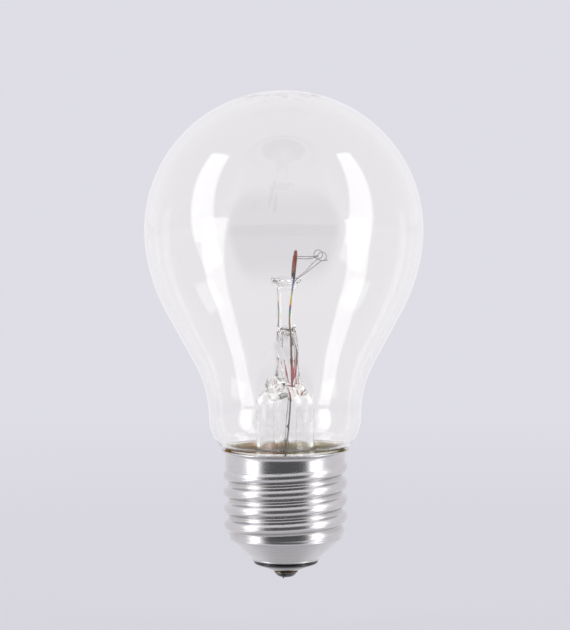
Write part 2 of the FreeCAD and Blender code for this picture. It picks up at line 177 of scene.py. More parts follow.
# Colours of the room: as paper behind the lamp, in gloss and behind the camera, and a little
# brighter through glass, for what the glass reflects away. The pairs are sines of a direction,
# between which one part of the room fades into the next.
paper = (0.735, 0.728, 0.790)
gloss_room = (0.97, 0.96, 0.985)
dark_room = (0.115, 0.115, 0.120)
through_glass = 1.055
shade_below = 0.34
fill_light = 0.5
steep = (0.36, 0.72)
camera_side = (0.62, 0.74)
far_side = (-0.95, -0.80)
underside = (0.70, 0.98)
scene.world = bpy.data.worlds.new("room")
scene.world.use_nodes = True
room = Finish("room", scene.world.node_tree)
heading = room.node("ShaderNodeTexCoord", {}, {}, out="Generated")
forward = room.node("ShaderNodeSeparateXYZ", {}, {0: heading}, out=1) * -1.0
upward = room.node("ShaderNodeSeparateXYZ", {}, {0: heading}, out=2)
tilted = room.smooth(upward, *steep) + room.smooth(upward * -1.0, *steep)
behind_camera = room.smooth(forward, *camera_side) * (1.0 - tilted)
pale = 1.0 - room.smooth(upward * -1.0, *underside) * shade_below
path = {name: room.node("ShaderNodeLightPath", {}, {}, out="Is " + name + " Ray")
        for name in ("Glossy", "Transmission", "Diffuse")}
mirrored = path["Glossy"] * (1.0 - path["Transmission"])
beside = room.smooth(forward, *far_side)
glowing = beside + mirrored * (1.0 - beside)
colour = room.blend(behind_camera, room.blend(glowing, paper, gloss_room), dark_room)
strength = (1.0 - path["Diffuse"] * (1.0 - fill_light)) * (1.0 - mirrored * (1.0 - pale))
strength = strength * (1.0 + path["Transmission"] * (through_glass - 1.0))
room.show(room.node("ShaderNodeBackground", {}, {"Color": colour, "Strength": strength}))

# Two tall soft lamps stand left and right of the camera and lean outwards, with a low pale card
# under each. Their light fades towards their edges. A foot or head is an azimuth and a rise in
# degrees, and a distance from the bulb.
lamp_target = Vector((0, 0, 75 * MM))
lamp_edge = 0.16


def spot_at(azimuth, rise, distance):
    """A place in the room, its azimuth counted from the camera's side towards +X."""
    turned = math.radians(azimuth)
    lift = math.radians(rise)
    level = Vector((math.sin(turned), -math.cos(turned), 0)) * math.cos(lift)
    return lamp_target + (level + Vector((0, 0, math.sin(lift)))) * distance


for name, foot_place, head_place, width, glow in (
    ("left_lamp", (-60, -23, 0.90), (-91, 52, 1.00), 0.33, 2.35),
    ("right_lamp", (56, -23, 0.66), (88, 53, 1.25), 0.30, 2.3),
    ("left_lamp", (-78, -45, 0.90), (-78, -26, 0.90), 0.36, 1.7),
    ("right_lamp", (74, -45, 0.90), (74, -26, 0.90), 0.36, 1.7),
):
    foot = spot_at(*foot_place)
    head = spot_at(*head_place)
    height = (head - foot).length
    upright = (head - foot) / height
    middle = (head + foot) / 2
    back = middle - lamp_target
    back = (back - upright * back.dot(upright)).normalized()
    bpy.ops.object.light_add(type="AREA", location=middle)
    lamp = bpy.context.object
    lamp.name = name
    lamp.data.shape = "RECTANGLE"
    lamp.data.size = width
    lamp.data.size_y = height
    lamp.data.energy = glow * math.pi * width * height
    lamp.rotation_euler = rotation_of(upright.cross(back), upright, back)
    lamp.data.use_nodes = True
    soft = Finish(name, lamp.data.node_tree)
    pane = soft.node("ShaderNodeNewGeometry", {}, {}, out="Parametric")
    fade = 1.0
    for axis, length in ((0, width), (1, height)):
        across = soft.node("ShaderNodeSeparateXYZ", {}, {0: pane}, out=axis)
        edge = lamp_edge * width / length
        fade = soft.smooth(across, 0.0, edge) * soft.smooth(1.0 - across, 0.0, edge) * fade
    soft.show(soft.node("ShaderNodeEmission", {}, {"Strength": fade}))

# The pale floor lies a little under the contact. The camera sees its colour evenly, with the
# lamp's soft shadow kept near it. It isn't seen in gloss.
floor_drop = 12 * MM
floor_size = 6.0
floor_colour = (0.70, 0.695, 0.75)
shadow_share = 0.18
shadow_near = 0.08
shadow_far = 0.45
bpy.ops.mesh.primitive_plane_add(size=floor_size)
floor = bpy.context.object
floor.name = "floor"
floor.location.z = -floor_drop
floor.visible_glossy = False
ground = Finish("pale_floor")
at = ground.place()
spread = ground.node("ShaderNodeVectorMath", {"operation": "LENGTH"}, {0: at}, out=1)
near = ground.smooth(spread * -1.0, -shadow_far, -shadow_near)
seen = ground.node("ShaderNodeLightPath", {}, {}, out="Is Camera Ray")
refracted = ground.node("ShaderNodeLightPath", {}, {}, out="Is Transmission Ray")
brightness = refracted * (through_glass - 1.0) + 1.0
flat = ground.node("ShaderNodeEmission", {}, {"Color": paper, "Strength": brightness})
lit = ground.node("ShaderNodeBsdfDiffuse", {}, {"Color": floor_colour})
even = ground.node("ShaderNodeMixShader", {}, {0: near * shadow_share, 1: flat, 2: lit})
ground.show(ground.node("ShaderNodeMixShader", {}, {0: seen + refracted, 1: lit, 2: even}))
floor.data.materials.append(ground.material)


# Glass bulb: blown clear soda glass, about 0.6 mm thick. The dome runs down over a straight cheek
# to the neck, which draws in under a rounded shoulder and stands in the cap. A worn trace of a
# stamp is left on the crown.
def deselect():
    """Leaves edit mode with nothing selected."""
    if bpy.context.object and bpy.context.object.mode != "OBJECT":
        bpy.ops.object.mode_set(mode="OBJECT")
    bpy.ops.object.select_all(action="DESELECT")


def walk(start, heading, steps, inset, chord):
    """Points along a run of lines and tangent arcs, from a start and a heading in degrees.

    A step is its kind, its length or radius, and its turn. inset moves the run to its right.
    """
    angle = math.radians(heading)
    r = start[0] + inset * math.sin(angle)
    z = start[1] - inset * math.cos(angle)
    points = [(r, z)]
    for kind, size, turn in steps:
        side = {"line": 0, "left": 1, "right": -1}[kind]
        radius = size + side * inset
        sweep = math.radians(turn)
        length = size if kind == "line" else abs(radius * sweep)
        count = max(2 if side else 1, round(length / chord))
        from_r, from_z, from_angle = r, z, angle
        for k in range(1, count + 1):
            part = k / count
            if kind == "line":
                r = from_r + size * part * math.cos(angle)
                z = from_z + size * part * math.sin(angle)
            else:
                angle = from_angle + side * sweep * part
                r = from_r + side * radius * (math.sin(angle) - math.sin(from_angle))
                z = from_z - side * radius * (math.cos(angle) - math.cos(from_angle))
            points.append((r, z))
    return points


def turn(name, outline, steps=160, closed=True):
    """A piece spun about the lamp's axis from an outline of (radius, height) in millimetres."""
    deselect()
    first = Vector((outline[0][0], 0, outline[0][1])) * MM
    bpy.ops.mesh.primitive_plane_add(size=MM, location=first)
    piece = bpy.context.object
    piece.name = name
    bpy.ops.object.transform_apply(location=True, rotation=False, scale=False)
    bpy.ops.object.mode_set(mode="EDIT")
    bpy.ops.mesh.select_all(action="SELECT")
    bpy.ops.mesh.merge(type="CENTER")
    here = outline[0]
    for there in outline[1:]:
        step = ((there[0] - here[0]) * MM, 0, (there[1] - here[1]) * MM)
        bpy.ops.mesh.extrude_region_move(TRANSFORM_OT_translate={"value": step})
        here = there
    if closed:
        ends = bmesh.from_edit_mesh(piece.data)
        loose = [vert for vert in ends.verts if len(vert.link_edges) == 1]
        for vert in ends.verts:
            vert.select = vert in loose
        ends.select_flush(True)
        bpy.ops.mesh.edge_face_add()
    bpy.ops.mesh.select_all(action="SELECT")
    bpy.ops.mesh.spin(steps=steps, angle=2 * math.pi, center=(0, 0, 0), axis=(0, 0, 1))
    bpy.ops.mesh.select_all(action="SELECT")
    bpy.ops.mesh.remove_doubles(threshold=0.002 * MM)
    bpy.ops.mesh.normals_make_consistent(inside=False)
    bpy.ops.object.mode_set(mode="OBJECT")
    bpy.ops.object.shade_smooth()
    return piece


def clear_glass(name, index, tint, bump=None):
    """Glass that lets the lamps' light through to what stands behind it."""
    shadow_tint = (0.96, 0.97, 0.97)
    glass = Finish(name)
    sockets = {"Base Color": tint, "Roughness": 0.0, "IOR": index, "Transmission Weight": 1.0}
    if bump:
        sockets["Normal"] = bump(glass)
    solid = glass.surface(sockets)
    through = glass.node("ShaderNodeBsdfTransparent", {}, {"Color": shadow_tint})
    shadow = glass.node("ShaderNodeLightPath", {}, {}, out="Is Shadow Ray")
    return glass, glass.node("ShaderNodeMixShader", {}, {0: shadow, 1: solid, 2: through})


dome_r = 30.0
dome_overrun = 6.0
cheek_r = 39.0
cheek_slope = 28.5
throat_r = 24.0
neck_r = 16.45
shoulder_r = 10.0
shoulder_turn = 34.0
curl_r = 3.0
curl_turn = 32.0
curl_line = 0.58
root_r = 1.5
glass_collar_run = 2.3
seal_bend_r = 2.0
seal_bend = 33.0
seal_run = 0.8
glass_wall = 0.6
glass_chord = 0.55


def drop(radius, first, last):
    """How far an arc comes inwards between two headings in degrees."""
    return radius * abs(math.cos(math.radians(first)) - math.cos(math.radians(last)))


line_from_r = dome_r * math.cos(math.radians(dome_overrun)) - drop(cheek_r, dome_overrun, cheek_slope)
line_to_r = neck_r + drop(throat_r, cheek_slope, 0)
cheek_line = (line_from_r - line_to_r) / math.sin(math.radians(cheek_slope))
glass_steps = [
    ("right", dome_r, 90 + dome_overrun), ("right", cheek_r, cheek_slope - dome_overrun),
    ("line", cheek_line, 0), ("left", throat_r, cheek_slope),
    ("right", shoulder_r, shoulder_turn), ("right", curl_r, curl_turn),
    ("line", curl_line, 0), ("left", root_r, shoulder_turn + curl_turn),
    ("line", glass_collar_run, 0), ("right", seal_bend_r, seal_bend),
    ("left", seal_bend_r, seal_bend), ("line", seal_run, 0),
]
crown_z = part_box("glass_bulb")[1][2] / MM
glass_outside = walk((0, crown_z), 0, glass_steps, 0.0, glass_chord)
glass_inside = walk((0, crown_z), 0, glass_steps, glass_wall, glass_chord)
bulb = turn("bulb_glass", glass_outside + glass_inside[::-1], closed=False)

soda_glass_index = 1.5
soda_glass_tint = (1.0, 0.995, 0.972)
stamp_colour = (0.36, 0.24, 0.17)
stamp_strength = 0.25
stamp_foot, stamp_top = crown_z - 2.6, crown_z - 0.8
glass, shell = clear_glass("clear_glass", soda_glass_index, soda_glass_tint)
at = glass.place()
height = glass.node("ShaderNodeSeparateXYZ", {}, {0: at}, out=2)
patch = glass.smooth(height, stamp_foot * MM, stamp_top * MM)
smudge = glass.smooth(glass.noise(at, 330.0, 4.0), 0.50, 0.68)
worn = glass.smooth(glass.noise(at, 1400.0, 2.0), 0.42, 0.60)
film = glass.surface({"Base Color": stamp_colour, "Roughness": 0.5})
stained = patch * smudge * worn * stamp_strength
glass.show(glass.node("ShaderNodeMixShader", {}, {0: stained, 1: shell, 2: film}))
bulb.data.materials.append(glass.material)
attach(bulb, "root")
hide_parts("glass_bulb")


# Stem: lead glass worked in a flame. A flared tube is sealed to the bulb at its rim, its top is
# pinched flat round the wires, and a rod with a pressed button head grows out of the press. Small
# air bubbles were caught where the rod met the press.
rim_glass = 0.8
seal_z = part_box("stem_flare")[0][2] / MM + rim_glass
stem_sides = 128
lead_glass_index = 1.6
# Each mark of the tongs: its angle at mark_middle and its lean per millimetre, both in degrees,
# its depth, and its spread in radians.
mark_middle = 25
marks_foot = (18.0, 21.0)
marks_top = (30.0, 32.5)
pinch_marks = (
    (-98, 1.6, 0.30, 0.045), (-70, -0.5, 0.34, 0.04), (-62, 0.8, 0.30, 0.05), (-112, -1.0, 0.26, 0.05),
    (84, -2.0, 0.25, 0.06), (107, 1.2, 0.30, 0.07), (66, 1.0, 0.22, 0.07),
)


def soft_step(value, low, high):
    """0 at low, 1 at high, and a soft step between them; low may be the larger one."""
    share = min(max((value - low) / (high - low), 0.0), 1.0)
    return share * share * (3 - 2 * share)


def pinched(angle, height):
    """How deep the tongs' marks lie in the press, in millimetres."""
    depth = 0.0
    for start, lean, most, spread in pinch_marks:
        turned = angle - math.radians(start - lean * (height - mark_middle))
        across = (turned + math.pi) % (2 * math.pi) - math.pi
        depth += most * math.exp(-(across / spread) ** 2)
    return depth * soft_step(height, *marks_foot) * (1 - soft_step(height, *marks_top))


def ring_place(angle, ring):
    """Point on a ring: height over the seal, centre X, half sizes in X and Y, and squareness.

    Only the rings of the press are narrow in X and wide in Y, and only they have the tongs' marks.
    """
    press_limit = 4.0
    height, centre, half_x, half_y, square = ring
    across, along = math.cos(angle), math.sin(angle)
    reach = (abs(across / half_x) ** square + abs(along / half_y) ** square) ** (-1 / square)
    if half_x < press_limit < half_y:
        reach -= pinched(angle, height)
    return Vector((centre + across * reach, along * reach, seal_z + height)) * MM


def stack(name, rings, sides):
    """A closed piece drawn up ring by ring from one circle."""
    deselect()
    bpy.ops.mesh.primitive_circle_add(vertices=sides, radius=MM, fill_type="NGON")
    piece = bpy.context.object
    piece.name = name
    bpy.ops.object.mode_set(mode="EDIT")
    shape = bmesh.from_edit_mesh(piece.data)
    turns = shape.verts.layers.float.new("turn")
    for vert in shape.verts:
        vert[turns] = math.atan2(vert.co.y, vert.co.x)
    for number, ring in enumerate(rings):
        if number:
            bpy.ops.mesh.extrude_region_move()
            shape = bmesh.from_edit_mesh(piece.data)
            turns = shape.verts.layers.float["turn"]
        for vert in shape.verts:
            if vert.select:
                vert.co = ring_place(vert[turns], ring)
    shape.verts.layers.float.remove(turns)
    bpy.ops.mesh.select_all(action="SELECT")
    bpy.ops.mesh.normals_make_consistent(inside=False)
    bpy.ops.object.mode_set(mode="OBJECT")
    bpy.ops.object.shade_smooth()
    return piece


def round_rings(points, centre=0.0):
    """Rings of a round stretch, from its points of radius and height."""
    return [(height, centre, radius, radius, 2.0) for radius, height in points]


# The stem from the button down over the press and the tube to the rim, and up the bore again. Its
# heights count from the seal.
rod_r = 2.06
rod_x = 0.37
rod_top = 39.8
rod_step = 0.85
rod_rings = 8
button_r = 3.25
tube_r = 6.2
tube_bore_r = 5.3
bell_rim_r = 11.38
button = [(0.6, 43.05), (1.6, 43.15), (2.35, 43.4), (2.85, 43.5), (3.15, 43.25), (button_r, 42.8),
          (3.1, 42.35), (2.7, 42.1), (2.3, 41.95), (2.12, 41.6), (rod_r, 41.1), (rod_r, rod_top)]
rod = [(rod_r, rod_top - rod_step * k) for k in range(1, rod_rings + 1)]
press = [
    (32.9, 0.38, 2.06, 2.1, 2.0), (32.3, 0.4, 2.08, 2.35, 2.0), (31.7, 0.42, 2.12, 2.8, 2.2),
    (31.1, 0.46, 2.2, 3.4, 2.8), (30.5, 0.52, 2.3, 4.1, 4.0), (29.8, 0.58, 2.42, 4.8, 6.0),
    (29.0, 0.62, 2.5, 5.3, 8.0), (28.1, 0.64, 2.46, 5.6, 9.5), (27.1, 0.62, 2.42, 5.8, 10.0),
    (26.1, 0.6, 2.4, 5.9, 10.0), (25.1, 0.6, 2.44, 5.95, 9.5), (24.1, 0.62, 2.52, 6.0, 8.0),
    (23.2, 0.6, 2.62, 6.03, 6.0), (22.3, 0.5, 2.85, 6.06, 4.4), (21.5, 0.42, 3.15, 6.1, 3.2),
    (20.7, 0.42, 3.55, 6.12, 2.6), (19.8, 0.38, 4.15, 6.16, 2.3), (18.8, 0.22, 4.85, 6.18, 2.1),
    (18.0, -0.05, 5.7, tube_r, 2.0), (17.4, 0.0, 6.1, tube_r, 2.0),
]
tube = [(tube_r, 16.6), (tube_r, 15.0), (tube_r, 12.8), (tube_r, 10.6), (tube_r, 9.2), (6.28, 7.9),
        (6.5, 6.3), (6.9, 4.5), (7.5, 2.9), (8.4, 1.6), (9.6, 0.65), (10.8, 0.08), (bell_rim_r, -0.1),
        (bell_rim_r, -0.75), (10.6, -0.8), (9.9, -0.8)]
bore = [(9.0, -0.35), (8.0, 0.5), (7.1, 1.6), (6.5, 2.9), (6.0, 4.5), (5.6, 6.3), (5.38, 7.9),
        (tube_bore_r, 9.2), (tube_bore_r, 11.5), (tube_bore_r, 14.0), (tube_bore_r, 16.2)]
cavity = [
    (17.2, 0.0, 5.2, 5.3, 2.0), (18.0, 0.05, 4.5, 5.28, 2.0), (18.8, 0.15, 3.5, 5.2, 2.0),
    (19.6, 0.28, 2.5, 5.0, 2.0), (20.3, 0.38, 1.6, 4.6, 2.0), (20.9, 0.42, 0.9, 3.9, 2.0),
    (21.2, 0.42, 0.35, 2.6, 2.0), (21.3, 0.42, 0.08, 1.2, 2.0),
]
rings = round_rings(button, rod_x) + round_rings(rod, rod_x) + press
rings += round_rings(tube) + round_rings(bore) + cavity
stem = stack("stem_glass", rings, stem_sides)


def wavy(angle, *waves):
    """Waves round a piece, each with its height, how many there are, and its shift in radians."""
    return sum(height * math.sin(count * angle + shift) for height, count, shift in waves)


button_foot = 41.8
for vert in stem.data.vertices:
    if vert.co.z > (seal_z + button_foot) * MM:
        around = math.atan2(vert.co.y, vert.co.x - rod_x * MM)
        swell = 1 + wavy(around, (0.03, 5, 0.8), (0.02, 9, 0.0))
        vert.co.x = rod_x * MM + (vert.co.x - rod_x * MM) * swell
        vert.co.y *= swell


def pick(piece):
    """Makes a piece the one that the next operator works on."""
    deselect()
    piece.select_set(True)
    bpy.context.view_layer.objects.active = piece


def between(limits, share):
    """A value part of the way from the first limit to the second."""
    return limits[0] + (limits[1] - limits[0]) * (share % 1.0)


# Uneven steps from one bubble to the next spread their places and sizes.
bubbles = 14
bubble_heights = (30.9, 33.2)
bubble_sizes = (0.24, 0.46)
bubble_reaches = (1.6, 0.85)
turn_step = 2.4
height_step = 0.618
size_step = 0.37
reach_step = 0.53
for k in range(bubbles):
    around = turn_step * k
    radius = between(bubble_sizes, size_step * k)
    lift = between(bubble_heights, height_step * k)
    reach = between(bubble_reaches, reach_step * k)
    spot = Vector((rod_x + reach * math.cos(around), reach * math.sin(around), seal_z + lift)) * MM
    deselect()
    bpy.ops.mesh.primitive_ico_sphere_add(subdivisions=2, radius=radius * MM, location=spot)
    bubble = bpy.context.object
    bpy.ops.object.transform_apply(location=True, rotation=False, scale=False)
    bpy.ops.object.mode_set(mode="EDIT")
    bpy.ops.mesh.select_all(action="SELECT")
    bpy.ops.mesh.flip_normals()
    bpy.ops.object.mode_set(mode="OBJECT")
    bpy.ops.object.shade_smooth()
    pick(stem)
    bubble.select_set(True)
    bpy.ops.object.join()


def flame_ripple(finish):
    """The soft unevenness of glass that was melted and pressed."""
    swell = finish.noise(finish.place(), 420.0, 2.0, (1, 1, 0.5))
    return finish.node("ShaderNodeBump", {}, {"Height": swell, "Distance": 0.08 * MM, "Strength": 0.5})


finer = stem.modifiers.new("finer", "SUBSURF")
finer.levels = finer.render_levels = 1
pick(stem)
bpy.ops.object.modifier_apply(modifier="finer")
stem_finish, stem_shader = clear_glass("stem_glass", lead_glass_index, (1, 1, 1), flame_ripple)
stem_finish.show(stem_shader)
stem.data.materials.append(stem_finish.material)
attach(stem, "root")
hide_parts("stem_flare", "glass_rod")

# Lip of the blown hole: the bulb was pumped out through it, and the melted glass drew back round
# it as a thick uneven ring on the left of the stem's shoulder.
lip_centre = (-1.85, -2.5, 19.9)
lip_axis = (-0.70, -0.68, -0.22)
lip_ring_r = 1.95
lip_glass_r = 0.85
lip_depth = 1.3
deselect()
bpy.ops.mesh.primitive_torus_add(major_segments=64, minor_segments=24, major_radius=lip_ring_r * MM,
                                 minor_radius=lip_glass_r * MM)
lip = bpy.context.object
lip.name = "blown_lip"
tilt = Vector((0, 0, 1)).rotation_difference(Vector(lip_axis).normalized()).to_matrix()
spot = Vector((lip_centre[0], lip_centre[1], seal_z + lip_centre[2])) * MM
for vert in lip.data.vertices:
    around = math.atan2(vert.co.y, vert.co.x)
    swell = 1 + wavy(around, (0.16, 2, 0.6), (0.08, 3, 2.0))
    uneven = Vector((vert.co.x * swell, vert.co.y * (2 - swell) * 0.95, vert.co.z * lip_depth))
    vert.co = spot + tilt @ uneven
bpy.ops.object.shade_smooth()
lip.data.materials.append(stem_finish.material)
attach(lip, "root")

# Exhaust tube: drawn lead-glass tube that the lamp was pumped through. It is open at its top,
# under the press, and was melted off to a closed tip inside the cap.
exhaust_r = 2.53
exhaust_bore_r = 1.75
exhaust_points = [
    (exhaust_r, 18.9), (exhaust_r, 18.6), (exhaust_r, 14.0), (exhaust_r, 7.0), (exhaust_r, 0.0),
    (exhaust_r, -3.8), (2.3, -5.2), (1.6, -6.6), (0.8, -7.3), (0.0, -7.55), (0.0, -6.1), (0.7, -5.8),
    (1.3, -5.0), (exhaust_bore_r, -3.4), (exhaust_bore_r, 7.0), (exhaust_bore_r, 14.0),
    (exhaust_bore_r, 18.6), (exhaust_bore_r, 18.9), (1.85, 19.0), (2.43, 19.0), (exhaust_r, 18.9),
]
exhaust_outline = [(r, seal_z + z) for r, z in exhaust_points]
exhaust = turn("exhaust_tube_glass", exhaust_outline, steps=72, closed=False)
exhaust.data.materials.append(stem_finish.material)
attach(exhaust, "root")
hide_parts("exhaust_tube")


# Lead wires: each is three wires butt welded end to end. The top one is nickel-plated iron, folded
# into a hook that clamps the filament and tinted by the heat of sealing. The middle one is red
# copper-clad wire, which seals to the glass, and the lowest is dull grey copper-plated wire.
def paint(red, green, blue):
    """A colour given as it looks, on a scale to 255."""
    return tuple(((level / 255 + 0.055) / 1.055) ** 2.4 for level in (red, green, blue))


def bar(name, points, thickness, sides=3, swell=None):
    """A round wire along a smooth run of points in millimetres; swell thickens it point by point."""
    deselect()
    bpy.ops.curve.primitive_nurbs_path_add()
    piece = bpy.context.object
    piece.name = name
    curve = piece.data
    curve.splines.clear()
    line = curve.splines.new("NURBS")
    line.points.add(len(points) - 1)
    for number, (knot, (x, y, z)) in enumerate(zip(line.points, points)):
        knot.co = (x * MM, y * MM, z * MM, 1.0)
        knot.radius = swell[number] if swell else 1.0
    line.order_u = 3
    line.use_endpoint_u = True
    line.resolution_u = 12
    curve.bevel_depth = thickness / 2 * MM
    curve.bevel_resolution = sides
    curve.use_fill_caps = True
    bpy.ops.object.convert(target="MESH")
    bpy.ops.object.shade_smooth()
    return piece


def lifted(points, side):
    """Points over the seal as points of the lamp, for its front (side -1) or its rear (side 1)."""
    return [(x, y * side, z + seal_z) for x, y, z in points]


middle_row = 315.7
rows_per_mm = 4.63


def height_of(row):
    """Height over the cap's contact of a row of the picture, for the tints along a wire."""
    return aim_height / MM + (middle_row - row) / rows_per_mm


lead_d = 0.42
seal_wire_d = 0.46
outer_lead_d = 0.34
side_lead_d = 0.25
hook_y = 3.42
hook_shift = 0.33
inner_route = [
    (1.45, 2.75, 26.0), (1.38, 2.85, 31.2), (1.12, 2.95, 33.6), (1.1, 3.02, 35.2),
    (1.3, 3.1, 37.6), (1.65, 3.2, 40.7), (2.2, hook_y - hook_shift, 43.8),
    (2.55, hook_y - hook_shift, 47.2), (2.66, hook_y - hook_shift, 48.85),
    (2.5, hook_y + hook_shift, 48.85), (2.2, hook_y + hook_shift, 47.4), (1.92, 3.6, 46.0),
    (1.74, 3.5, 43.9),
]
hook_swell = (1, 1, 1, 1, 1, 1, 1, 1.12, 1.25, 1.25, 1.2, 1.12, 0.9)
seal_route = [(1.45, 2.75, 26.0), (1.52, 2.8, 23.4), (1.36, 2.95, 20.3), (1.18, 3.2, 17.7)]
# Heat tints of the top wires, from below: the picture's row where each is seen, and its colour.
tints = [
    (345, (120, 100, 85)), (326, (130, 115, 95)), (320, (165, 130, 110)), (315, (130, 150, 90)),
    (311, (70, 130, 110)), (308, (80, 70, 140)), (306, (120, 50, 110)), (303.5, (215, 120, 60)),
    (301, (205, 190, 70)), (296, (200, 190, 130)), (291, (160, 160, 150)), (284, (100, 115, 155)),
    (279.5, (45, 45, 85)), (275, (70, 55, 50)), (268, (150, 110, 98)), (262, (140, 75, 60)),
    (254, (135, 62, 50)), (249, (58, 44, 30)),
]
tint_waver = 0.9
low = height_of(tints[0][0])
high = height_of(tints[-1][0])
stops = [((height_of(row) - low) / (high - low), paint(*shade)) for row, shade in tints]
tinted = Finish("tinted_wire")
at = tinted.place()
climb = tinted.node("ShaderNodeSeparateXYZ", {}, {0: at}, out=2)
climb = climb + (tinted.noise(at, 900.0, 2.0) - 0.5) * tint_waver * MM
share = (climb - low * MM) / ((high - low) * MM)
ramp = tinted.node("ShaderNodeValToRGB", {"stops": stops}, {0: share})
grain = tinted.noise(at, 2500.0, 2.0, (1, 1, 0.1))
tinted.show(tinted.surface({"Base Color": ramp, "Metallic": 0.55, "Roughness": 0.3 + grain * 0.2}))

red_fade = (18.5, 25.5)
copper_edge = (24.6, 25.0)
red = Finish("red_seal_wire")
at = red.place()
climb = red.node("ShaderNodeSeparateXYZ", {}, {0: at}, out=2)
share = red.smooth(climb, (seal_z + red_fade[0]) * MM, (seal_z + red_fade[1]) * MM)
sheath = red.blend(share, paint(150, 50, 75), paint(205, 85, 92))
copper = red.smooth(climb, (seal_z + copper_edge[0]) * MM, (seal_z + copper_edge[1]) * MM)
sheath = red.blend(copper, sheath, paint(150, 82, 50))
worn = 0.35 + red.noise(at, 1800.0) * 0.2
red.show(red.surface({"Base Color": sheath, "Metallic": 0.2, "Roughness": worn}))

grey = Finish("grey_wire")
at = grey.place()
dull = grey.blend(grey.noise(at, 700.0, 3.0), paint(70, 66, 62), paint(125, 120, 112))
grey.show(grey.surface({"Base Color": dull, "Metallic": 0.7, "Roughness": 0.38}))

# Below the press the front wire runs to the centre contact, and the rear one to the cap's rim.
centre_route = [
    (1.18, 3.2, 17.7), (1.0, 3.4, 14.6), (0.75, 3.55, 11.6), (0.55, 3.6, 9.2),
    (0.1, 3.6, 7.2), (-0.5, 3.5, 4.4), (-0.75, 3.3, 0.4), (-0.7, 3.1, -3.4),
    (-0.6, 2.4, -7.4), (-0.4, 0.9, -11.6), (-0.25, 0.0, 5.4 - seal_z), (-0.2, 0.0, 2.6 - seal_z),
    (-0.35, 0.0, 1.0 - seal_z), (-0.5, 0.0, 0.3 - seal_z),
]
side_route = [
    (1.18, 3.2, 17.7), (0.9, 3.5, 14.8), (0.4, 3.85, 12.0), (0.2, 3.95, 9.0), (0.1, 3.95, 5.4),
    (0.0, 4.0, 2.2), (0.0, 5.0, -1.8), (0.0, 8.6, -2.1), (0.0, 11.6, -2.0), (0.0, 11.6, 0.6),
    (0.0, 12.05, 2.9), (0.0, 12.1, 4.6), (0.0, 12.55, 5.9), (0.0, 13.2, 6.6), (0.0, 13.9, 6.7),
    (0.0, 14.3, 6.2), (0.0, 14.35, 5.5),
]
for name, side, outer_route, outer_d in (
    ("front", -1, centre_route, outer_lead_d),
    ("rear", 1, side_route, side_lead_d),
):
    top = bar("lead_top_" + name, lifted(inner_route, side), lead_d, swell=hook_swell)
    top.data.materials.append(tinted.material)
    middle = bar("lead_seal_" + name, lifted(seal_route, side), seal_wire_d)
    middle.data.materials.append(red.material)
    low_lead = bar("lead_low_" + name, lifted(outer_route, side), outer_d)
    low_lead.data.materials.append(grey.material)
    for piece, node, slot in (
        (top, "inner_lead_", "tinted_wire"),
        (middle, "seal_wire_", "red_seal_wire"),
        (low_lead, "outer_lead_", "grey_wire"),
    ):
        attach(piece, "root")
        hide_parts(node + name)

# Welds: a small bead of melted copper where two wires meet, and one on the centre lead where it
# was mended below the press.
bead_r = 0.34
bead_dent = 0.05
for name, spot, side in (
    ("weld_upper_front", (1.46, 2.76, 25.5), -1), ("weld_upper_rear", (1.46, 2.76, 25.5), 1),
    ("weld_lower_front", (1.16, 3.22, 17.5), -1), ("weld_lower_rear", (1.16, 3.22, 17.5), 1),
    ("weld_centre", (0.62, 3.6, 11.6), -1),
):
    deselect()
    x, y, z = lifted([spot], side)[0]
    bpy.ops.mesh.primitive_uv_sphere_add(segments=20, ring_count=12, radius=bead_r * MM,
                                         location=(x * MM, y * MM, z * MM), scale=(0.85, 0.85, 1.35))
    bead = bpy.context.object
    bead.name = name
    bpy.ops.object.transform_apply(location=True, rotation=True, scale=True)
    for vert in bead.data.vertices:
        vert.co.x += bead_dent * MM * math.sin(vert.co.z / MM * 9 + vert.co.y / MM * 7)
    bpy.ops.object.shade_smooth()
    bead.data.materials.append(red.material if "upper" in name else grey.material)
    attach(bead, "root")
    "red_seal_wire" if "upper" in name else "grey_wire"

# Filament: tungsten wire wound into a fine coil and strung in a U from hook to hook through the
# two support loops.
filament_route = [
    (1.85, 3.42, 47.72), (3.3, 3.42, 47.75), (4.6, 3.47, 47.65), (5.9, 2.75, 47.7),
    (6.85, 1.5, 47.9), (7.25, 0.6, 48.1),
]
coil_d = 0.22
coil_wire_d = 0.055
coil_pitch = 0.085
coil_steps = 8
track_steps = 40
deselect()
bpy.ops.curve.primitive_nurbs_path_add()
guide = bpy.context.object
guide.data.splines.clear()
line = guide.data.splines.new("NURBS")
route = lifted(filament_route, -1) + lifted(filament_route, 1)[::-1]
line.points.add(len(route) - 1)
for knot, spot in zip(line.points, route):
    knot.co = (*(Vector(spot) * MM), 1.0)
line.order_u = 3
line.use_endpoint_u = True
line.resolution_u = track_steps
drawn = bpy.data.meshes.new_from_object(guide)
track = [vert.co / MM for vert in drawn.vertices]
bpy.data.objects.remove(guide)
spots = []
run = 0.0
for here, there in zip(track, track[1:]):
    along = (there - here).normalized()
    outward = along.cross(Vector((0, 0, 1))).normalized()
    pieces = max(1, round((there - here).length / (coil_pitch / coil_steps)))
    for k in range(pieces):
        phase = 2 * math.pi * run / coil_pitch
        ring = outward * math.cos(phase) + along.cross(outward) * math.sin(phase)
        spots.append(here.lerp(there, k / pieces) + ring * ((coil_d - coil_wire_d) / 2))
        run += (there - here).length / pieces
every_second = [tuple(spot) for spot in spots[::2]]
filament = bar("filament_coil", every_second, coil_wire_d, sides=0)
tungsten = Finish("filament_wire")
at = tungsten.place()
shade = tungsten.blend(tungsten.noise(at, 1500.0), paint(105, 103, 108), paint(165, 163, 168))
tungsten.show(tungsten.surface({"Base Color": shade, "Metallic": 0.8, "Roughness": 0.4}))
filament.data.materials.append(tungsten.material)
